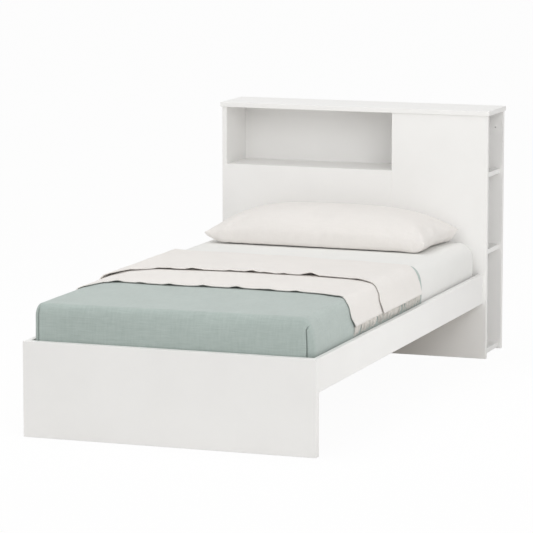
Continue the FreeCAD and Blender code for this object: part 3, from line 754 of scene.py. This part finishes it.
# %% Where the throw's edges lie
THROW_THICKNESS = 0.0036
THROW_HEM = 0.357         # side hems, with the fringe below them
LOWER_LIFT = (0.0086, 0.0068)     # on top of the bed, and down its sides
UPPER_LIFT = (0.0150, 0.0128)
LEFT_SWELL = 0.005                # the upper layer stands up where it turns down on the left
FOLD_ROOM = 0.006
throw_reach = bed_high.x + bed_high.z - THROW_HEM     # middle of the bed to a side hem
EDGES = {                 # points across and along the bed, from the left hem to the right one
    "lower": [(-0.60, -0.720), (-0.475, -0.700), (-0.44, -0.575), (-0.39, -0.546),
              (-0.20, -0.555), (0.05, -0.541), (0.28, -0.550), (0.341, -0.560),
              (0.435, -0.596), (0.469, -0.632), (0.543, -0.650), (0.60, -0.612)],
    "upper": [(-0.60, -0.510), (-0.475, -0.460), (-0.44, -0.320), (-0.36, -0.250),
              (-0.08, -0.219), (0.16, -0.219), (0.337, -0.239), (0.397, -0.262),
              (0.453, -0.305), (0.474, -0.322), (0.529, -0.340), (0.60, -0.316)],
    "head": [(-0.60, 0.190), (-0.33, 0.187), (0.02, 0.180), (0.24, 0.150), (0.42, 0.126),
             (0.471, 0.115), (0.514, 0.114), (0.60, 0.127)],
}


def edge_line(which, across):
    """Where an edge lies along the bed, at a distance across from the middle of the bed."""
    points = EDGES[which]
    after = next((i for i, point in enumerate(points) if point[0] > across), len(points) - 1)
    after = max(after, 1)
    (left, low), (right, high) = points[after - 1], points[after]
    share = (across - left) / (right - left)
    share = 0.5 * (keep_between(share, 0, 1) + eased(share))
    wander = 0.0025 * wavy(across * 7, 3.1 * len(which), low)
    return mix(low, high, share) + wander


def across_spot(across, along):
    """The sharp box's point at a distance across from the middle, over the edges of the bed."""
    past = max(0.0, abs(across) - bed_high.x)
    return Vector((math.copysign(bed_high.x, across) if past else across, along,
                   bed_high.z - past))


# %% [markdown]
# A free edge of a soft cloth never lies quite flat. It lifts in small, uneven ripples, and here and
# there it stands up in a ruck. The ripple is noise along the edge, the rucks are small tents at
# chosen places, and both fade a few centimetres into the cloth.

# %% Ripples and rucks
RUCKS = {                 # by layer, where the edge stands up across the bed, and how high
    0: [(-0.40, 0.005), (-0.31, 0.003), (-0.20, 0.005), (-0.08, 0.005), (0.04, 0.006),
        (0.165, 0.003), (0.26, 0.004)],
    1: [(-0.36, 0.004), (-0.24, 0.006), (-0.10, 0.003), (-0.02, 0.006), (0.03, 0.003),
        (0.10, 0.003), (0.20, 0.011), (0.38, 0.003)],
}
RUCK_WIDTH = 0.021
CORNER_FLARE = (0.007, 0.002)     # a hanging corner stands away from the bed, lower and upper


def ruck(across, layer, distance):
    tents = (high * max(0.0, 1 - abs(across - spot) / (RUCK_WIDTH * (1 + 60 * high)))
             for spot, high in RUCKS[layer])
    return max(tents) * math.exp(-distance / 0.030)


def ripple(across, layer, seed, distance):
    wave = wavy(across * 11, seed, 0.0) + 0.5 * wavy(across * 26, seed, 4.0)
    low_wave = (0.0010 + 0.0050 * max(0.0, wave - 0.12)) * math.exp(-distance / 0.022)
    return low_wave + ruck(across, layer, distance)


# %% The throw's strip
def settle_throw(across, along, layer, edge_distance, seed):
    spot = across_spot(across, along)
    side = eased((abs(across) - bed_high.x + 0.045) / 0.11)
    lift = mix(mix(*LOWER_LIFT, side), mix(*UPPER_LIFT, side), layer)
    lift += LEFT_SWELL * layer * math.exp(-((across - bed_low.x) / 0.05) ** 2)
    if edge_distance < 0.2:
        lift += ripple(across, round(layer), seed, edge_distance)
        flare = eased((abs(across) - bed_high.x) / 0.09) * math.exp(-edge_distance / 0.025)
        lift += CORNER_FLARE[round(layer)] * flare
    lift += 0.0014 * wavy(spot.x * 6, along * 5, seed) * (1 + layer)
    hang = keep_between((abs(across) - bed_high.x) / 0.05, 0, 1)
    lift += 0.0012 * hang * wavy(along * 14, seed, across)
    return over_mattress(spot, lift)


THROW_ROWS = (84, 52)             # in the lower layer and in the upper
FOLD_ROWS = 6                     # round the fold between them


def throw_rows():
    """Rows of the strip: share of the way on its layer, and which layer (0 lower, 1 upper)."""
    lower, upper = ([i / count for i in range(count)] for count in THROW_ROWS)
    near = [0.004, 0.008]         # two more rows close to each free edge
    rows = [(s, 0.0) for s in sorted(lower + near)]
    rows += [(1.0, i / FOLD_ROWS) for i in range(FOLD_ROWS + 1)]
    rows += [(1.0 - s, 1.0) for s in upper[1:] + [1 - n for n in reversed(near)] + [1.0]]
    return rows


def throw_point(across, row):
    share, layer = row
    head = edge_line("head", across)
    if 0 < layer < 1:
        swing = math.sin(layer * math.pi) * FOLD_ROOM * 0.5
        return settle_throw(across, head + swing, layer, 1.0, 1.0)
    start = edge_line("upper" if layer else "lower", across)
    along = mix(start, head, share)
    return settle_throw(across, along, layer, along - start, 2.0 + 5.0 * layer)


# %% Throw
columns = stations(-throw_reach, throw_reach, 0.17, 0.0075, 0.0075)
rows = throw_rows()
points = [throw_point(across, row) for row in rows for across in columns]
wide = len(columns)
chart = [(across, 0.0) for across in columns]
for spot in range(wide, len(points)):
    step = (points[spot] - points[spot - wide]).length
    chart.append((columns[spot % wide], chart[spot - wide][1] + step))
corners = (0, 1, wide + 1, wide)
faces = [tuple(r * wide + c + corner for corner in corners)
         for r in range(len(rows) - 1) for c in range(wide - 1)]
throw_mesh = mapped_mesh("throw_cloth", points, faces, [chart[i] for face in faces for i in face])
throw = new_piece("throw_cloth", throw_mesh, throw_weave, "mattress")
thicken(throw, THROW_THICKNESS)
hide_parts("throw_blanket")

# %% [markdown]
# ## Fringe
# The throw's side hems end in a short fringe. Geometry Nodes make it: the hem becomes a curve,
# points are set along it, and a strand stands at every point, turned and stretched at random from
# a fixed seed. Noise leaves thin places, where the coverlet shows through. The strands' finish has
# painted shade: its darker strands stand for the dark streaks between clumps of strands.

# %% One strand
def strand_rings():
    """A tapering four-sided thread, 1 unit long, that hangs from the origin."""
    rings = []
    for i in range(5):
        down = i / 4
        wide = 0.030 * (1 - 0.45 * down)
        sway = 0.06 * math.sin(down * 4.4)
        rings.append([(sway + wide * x, wide * y, -down)
                      for x, y in ((1, 0), (0, 1), (-1, 0), (0, -1))])
    return rings


strand = bpy.data.objects.new("fringe_strand", ringed("fringe_strand", strand_rings()))
print("strand faces", len(strand.data.polygons))


# %% How a geometry tree starts
def geometry_tree(name, inputs):
    """A tree with inputs of (name, kind, usual value), and the sockets' identifiers by name."""
    tree = bpy.data.node_groups.new(name, "GeometryNodeTree")
    tree.interface.new_socket("Geometry", in_out="INPUT", socket_type="NodeSocketGeometry")
    sockets = {}
    for label, kind, usual in inputs:
        socket = tree.interface.new_socket(label, in_out="INPUT",
                                           socket_type="NodeSocket" + kind)
        if usual is not None:
            socket.default_value = usual
        sockets[label] = socket.identifier
    tree.interface.new_socket("Geometry", in_out="OUTPUT", socket_type="NodeSocketGeometry")
    return (tree, tree.nodes.new("NodeGroupInput").outputs, tree.nodes.new("NodeGroupOutput"),
            sockets)


def chance(tree, low, high, seed):
    """A random number for each point."""
    return node(tree, "FunctionNodeRandomValue", {2: low, 3: high, "Seed": seed},
                data_type="FLOAT").outputs[1]


# %% How a geometry tree ends, and is grown
def plant(tree, take, give, points, turn, scale, spin=None):
    """Stand the tree's shape on points, make the copies real and give them their finish."""
    shape = node(tree, "GeometryNodeObjectInfo", {"Object": take["Shape"]}).outputs["Geometry"]
    made = first(tree, "GeometryNodeInstanceOnPoints", {"Points": points, "Instance": shape,
                                                        "Rotation": turn, "Scale": scale})
    if spin is not None:
        made = first(tree, "GeometryNodeRotateInstances", {"Instances": made, "Rotation": spin})
    real = first(tree, "GeometryNodeRealizeInstances", {0: made})
    fill(tree, give, {0: first(tree, "GeometryNodeSetMaterial", {"Geometry": real,
                                                                 "Material": take["Finish"]})})


def grown(name, mesh, tree, sockets, values, body):
    """Run a geometry tree on a mesh, keep the result as a plain mesh, and drop the tree."""
    seedling = placed(name + "_seed", mesh)
    modifier = seedling.modifiers.new("nodes", "NODES")
    modifier.node_group = tree
    for label, value in values.items():
        modifier[sockets[label]] = value
    bpy.context.view_layer.update()
    graph = bpy.context.evaluated_depsgraph_get()
    result = bpy.data.meshes.new_from_object(seedling.evaluated_get(graph))
    seedling.modifiers.remove(modifier)
    bpy.data.objects.remove(seedling)
    result.name = name
    obj = placed(name, result)
    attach(obj, body)
    print(name, "faces", len(result.polygons))
    return obj


# %% The fringe tree
fringe, take, give, fringe_sockets = geometry_tree("hem_fringe", [
    ("Shape", "Object", None), ("Spacing", "Float", 0.002), ("Length", "Float", 0.036),
    ("Thin places", "Float", 0.4), ("Seed", "Int", 4), ("Finish", "Material", None)])
line = first(fringe, "GeometryNodeMeshToCurve", {"Mesh": take["Geometry"]})
dotted = node(fringe, "GeometryNodeCurveToPoints", {"Curve": line, "Length": take["Spacing"]},
              mode="LENGTH")
place = first(fringe, "GeometryNodeInputPosition")
thin = first(fringe, "FunctionNodeCompare", {
    0: speckle(fringe, place, 55.0, 1.0, 0.5), 1: take["Thin places"]},
             data_type="FLOAT", operation="LESS_THAN")
kept = first(fringe, "GeometryNodeDeleteGeometry", {
    "Geometry": dotted.outputs["Points"], "Selection": thin}, domain="POINT")
lean = between(fringe, speckle(fringe, place, 38.0, 1.0, 0.5), -0.55, 0.55)
tilt = maths(fringe, "ADD", lean, chance(fringe, -0.16, 0.16, take["Seed"]))
angles = first(fringe, "ShaderNodeCombineXYZ", {0: tilt})
size = maths(fringe, "MULTIPLY", chance(fringe, 0.72, 1.05, 23), take["Length"])
plant(fringe, take, give, kept, angles, size)


# %% Fringe along both side hems
HEM_STEPS = 60
HEM_END = 0.004           # the fringe stops this far from the hem's ends


def hem_line():
    """Both side hems of the throw as two lines of points, from the foot edge to the fold."""
    made = bpy.data.meshes.new("hem_line")
    spots, edges = [], []
    for across in (-throw_reach, throw_reach):
        start, end = edge_line("lower", across), edge_line("head", across)
        for i in range(HEM_STEPS + 1):
            along = start + HEM_END + (end - start - 2 * HEM_END) * i / HEM_STEPS
            if i:
                edges.append((len(spots) - 1, len(spots)))
            spots.append(settle_throw(across, along, 0.0, 1.0, 2.0) + Vector((0, 0, 0.002)))
    made.from_pydata(spots, edges, [])
    return made


throw_fringe = grown("throw_fringe", hem_line(), fringe, fringe_sockets, {
    "Shape": strand, "Spacing": 0.0021, "Length": 0.036, "Seed": 4, "Thin places": 0.41,
    "Finish": fringe_yarn_and_shade}, "mattress")

# %% [markdown]
# ## Screws
# The back panel and the slat ledgers are held with small screws with low domed heads. One head is
# made, with a cross recess, and a tree stands it on every point of a mesh that has nothing but
# points, with a random turn for each, as a hand leaves them.

# %% One screw head
SCREW_SIDES = 16
SCREW_DOME = ((1.0, 0.0), (0.94, 0.16), (0.72, 0.26))     # radius and height of its rings
SCREW_RADIUS = 0.0038


def screw_ring(reaches, height):
    turns = [i * math.tau / SCREW_SIDES for i in range(SCREW_SIDES)]
    return [(reach * math.cos(turn), reach * math.sin(turn), height)
            for reach, turn in zip(reaches, turns)]


cross = [0.55 if i % 4 == 0 else 0.16 for i in range(SCREW_SIDES)]
rings = [screw_ring([radius] * SCREW_SIDES, height) for radius, height in SCREW_DOME]
rings += [screw_ring(cross, 0.28), screw_ring([0.5 * reach for reach in cross], 0.02)]
screw = bpy.data.objects.new("screw_head", ringed("screw_head", rings))
print("screw head faces", len(screw.data.polygons))

# %% The screw tree
screws, take, give, screw_sockets = geometry_tree("screws_on_points", [
    ("Shape", "Object", None), ("Radius", "Float", 0.004), ("Facing", "Vector", (0.0, 0.0, 0.0)),
    ("Seed", "Int", 2), ("Finish", "Material", None)])
spots = first(screws, "GeometryNodeMeshToPoints", {"Mesh": take["Geometry"]})
spin = first(screws, "ShaderNodeCombineXYZ", {2: chance(screws, 0.0, math.tau, take["Seed"])})
plant(screws, take, give, spots, take["Facing"], take["Radius"], spin)


def screw_row(name, spots, facing):
    """Screws at the spots, facing the way that Z goes after the turn."""
    mesh = bpy.data.meshes.new(name + "_spots")
    mesh.from_pydata(spots, [], [])
    row = grown(name, mesh, screws, screw_sockets, {
        "Shape": screw, "Radius": SCREW_RADIUS, "Facing": facing, "Seed": len(spots),
        "Finish": zinc_steel}, "frame")


# %% Screws in the back panel
SCREW_STEP = 0.15
back_low, back_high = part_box("back_panel")
back_spots = []
for upright in ("left_side_panel", "centre_divider"):
    low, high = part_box(upright)
    middle = (max(low.x, back_low.x) + high.x) / 2
    back_spots += [(middle, back_high.y, z)
                   for z in spaced(back_low.z + 0.06, back_high.z - 0.06, SCREW_STEP)]
for shelf in ("bay_shelf_bottom", "bay_shelf_middle", "bay_shelf_upper", "niche_floor"):
    low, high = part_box(shelf)
    back_spots += [(x, back_high.y, (low.z + high.z) / 2)
                   for x in spaced(low.x + 0.08, high.x - 0.06, SCREW_STEP)]
screw_row("back_panel_screws", back_spots, (-math.pi / 2, 0, 0))

# %% Screws in the ledgers
for side, turn_to in (("left", math.pi / 2), ("right", -math.pi / 2)):
    low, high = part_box("slat_ledger_" + side)
    inner = high.x if side == "left" else low.x
    screw_row("ledger_screws_" + side, [(inner, y, (low.z + high.z) / 2) for y in spaced(
        low.y + 0.08, high.y - 0.08, 0.29)], (0, turn_to, 0))

# %% [markdown]
# ## Pillow
# A pillow is two panels sewn at their edges and stuffed. Well filled, it is nearly a brick with
# four drawn-out corners: a broad crown, steep sides, and an underside that lies flat on the sheet.
# The two panels are first set out on a rule that gives this form. Then a cloth simulation swells
# them with a little spare cloth, which makes folds. How each point moved is averaged with its
# neighbours again and again, and the average, which is the swelling, is taken away. What is left
# is the folds alone, and they are added to the form, up to a cap.

# %% The form of the pillow
SHEET_TOP = bed_high.z + SHEET_LIFT + SHEET_THICKNESS / 2
pillow_low, pillow_high = (Vector(corner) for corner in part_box("pillow"))
PILLOW_HALF = Vector(((pillow_high.x - pillow_low.x) / 2 - 0.007, 0.185, 0.0))
PILLOW_LEAN = 0.0106      # the back half sits this far to the right
PILLOW_SKEW = 0.006       # and the left end this far back
SEAM_HEIGHT = (0.041, 0.049)      # above the sheet, at the front and at the headboard
CROWN = 0.143


def quarter(share, power=2.0):
    """Rises steeply and then levels off, as a quarter of a circle does."""
    return (1 - (1 - keep_between(share, 0, 1)) ** power) ** (1 / power)


def pillow_form(u, v, side):
    """A point of the form: u and v run from -1 to 1, and side is 1 on top, -1 below."""
    right, back = (u + 1) / 2, (v + 1) / 2
    middle = (pillow_low + pillow_high) / 2
    pinch = 0.0022 * (side == 0) * keep_between((1 - abs(u)) / 0.1, 0, 1)
    across = middle.x + PILLOW_LEAN * v + u * (
        PILLOW_HALF.x * (1 - 0.015 * (1 - v * v)) - pinch)
    along = middle.y - 0.002 - PILLOW_SKEW * u + v * (
        PILLOW_HALF.y * (1 - 0.012 * (1 - u * u)) - pinch)
    seam = mix(*SEAM_HEIGHT, back)
    if side >= 0:
        bulge = (1 - abs(u) ** mix(3.5, 4.1, right)) ** mix(0.84, 0.74, right)
        height = seam + (CROWN - seam) * bulge * (1 - abs(v) ** 2.6) ** 0.58
    else:
        ends = quarter((1 - abs(u)) / mix(0.17, 0.12, right), mix(1.3, 2.0, right))
        sides = quarter((1 - abs(v)) / mix(0.09, 0.20, back), mix(1.8, 1.5, back))
        height = seam * (1 - ends * sides)
    return Vector((across, along, SHEET_TOP + 0.0008 + height))


# %% Pillow panels
PILLOW_ROWS = (88, 40)


def seam_fine(i, count):
    """The share of the way across for a grid line, with lines closer at the seams."""
    even = 2 * i / count - 1
    return 0.35 * even + 0.65 * math.sin(even * math.pi / 2)


def pillow_panels():
    """Two panels with shared edges, set out on the form."""
    made = bmesh.new()
    across, along = PILLOW_ROWS
    top, bottom = {}, {}
    for i in range(across + 1):
        for j in range(along + 1):
            u, v = seam_fine(i, across), seam_fine(j, along)
            edge = i in (0, across) or j in (0, along)
            top[i, j] = made.verts.new(pillow_form(u, v, 0 if edge else 1))
            bottom[i, j] = top[i, j] if edge else made.verts.new(pillow_form(u, v, -1))
    for i in range(across):
        for j in range(along):
            ring = ((i, j), (i + 1, j), (i + 1, j + 1), (i, j + 1))
            made.faces.new([top[k] for k in ring])
            made.faces.new([bottom[k] for k in reversed(ring)])
    return as_mesh(made, "pillow_case")


pillow = new_piece("pillow_case", pillow_panels(), pillow_linen, "pillow")
pillow.data.polygons.foreach_set("use_smooth", [True] * len(pillow.data.polygons))
print("pillow points", len(pillow.data.vertices))

# %% Stuff the pillow
FRAMES = 20
AVERAGES = 30             # times that the moves are averaged
DEEPEST_FOLD = 0.007
STUFFING = {"quality": 6, "mass": 0.25, "tension_stiffness": 15, "compression_stiffness": 15,
            "shear_stiffness": 5, "bending_stiffness": 0.1, "use_pressure": True,
            "uniform_pressure_force": 4.0, "shrink_min": -0.05}    # the cloth is 5% too large


def averaged(moves, mesh):
    """The moves with their fine part smoothed out."""
    near = [[] for move in moves]
    for edge in mesh.edges:
        a, b = edge.vertices
        near[a].append(b)
        near[b].append(a)
    for again in range(AVERAGES):
        moves = [(moves[i] + sum((moves[j] for j in near[i]), Vector())) / (1 + len(near[i]))
                 for i in range(len(moves))]
    return moves


def stuff(obj):
    """Swell the case with a cloth simulation and keep the folds that it makes."""
    modifier = obj.modifiers.new("stuffing", "CLOTH")
    for name, value in STUFFING.items():
        setattr(modifier.settings, name, value)
    modifier.settings.effector_weights.gravity = 0
    modifier.collision_settings.use_collision = False
    modifier.point_cache.frame_end = FRAMES
    for moment in range(1, FRAMES + 1):
        bpy.context.scene.frame_set(moment)
    graph = bpy.context.evaluated_depsgraph_get()
    stuffed = bpy.data.meshes.new_from_object(obj.evaluated_get(graph))
    obj.modifiers.remove(modifier)
    bpy.context.scene.frame_set(1)
    moves = [moved.co - vertex.co for vertex, moved in zip(obj.data.vertices, stuffed.vertices)]
    bpy.data.meshes.remove(stuffed)
    swelling = averaged(moves, obj.data)
    folds = [move - broad for move, broad in zip(moves, swelling)]
    for vertex, fold in zip(obj.data.vertices, folds):
        vertex.co += fold * (DEEPEST_FOLD / (DEEPEST_FOLD + fold.length))
    print("deepest fold before the cap", round(max(fold.length for fold in folds), 4))


stuff(pillow)

# %% [markdown]
# A case that is pulled over a full pillow drags from its corners, and fine creases lie along its
# front seam. Both are noise: one in the angle about a corner, the other stretched along the seam.

# %% Drag lines of the case
CORNER_DRAG = 0.007
SEAM_CREASE = 0.0026


def drag_lines(spot):
    pull = 0.0
    for side, seed in ((pillow_low.x, 1.0), (pillow_high.x, 6.0)):
        across, along = spot.x - side, spot.y - pillow_low.y
        distance = math.hypot(across, along)
        reach = eased(distance / 0.05) * math.exp(-(distance / 0.13) ** 2)
        pull += reach * wavy(math.atan2(along, across) * 5, seed, 0)
    near_seam = math.exp(-((spot.y - pillow_low.y) / 0.07) ** 2)
    crease = near_seam * wavy(spot.x * 5, spot.z * 45, 7)
    return (CORNER_DRAG * pull + SEAM_CREASE * crease) * eased((spot.z - SHEET_TOP) / 0.03)


outward = [vertex.normal.copy() for vertex in pillow.data.vertices]
for vertex, normal in zip(pillow.data.vertices, outward):
    vertex.co += normal * drag_lines(vertex.co)
print("drag lines on", len(outward), "points")


# %% Lay the pillow down
def soft_floor(height, give=0.003):
    """Never below nothing, and turning smoothly onto it."""
    return 0.5 * (height + math.sqrt(height * height + give * give))


for vertex in pillow.data.vertices:
    vertex.co.z = SHEET_TOP + soft_floor(vertex.co.z - SHEET_TOP)
pillow.data.update()
finer = pillow.modifiers.new("smooth", "SUBSURF")
finer.levels = finer.render_levels = 1
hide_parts("pillow")
low = min(v.co.z for v in pillow.data.vertices)
print("pillow rests at", round(low, 4), "on a sheet at", round(SHEET_TOP, 4))
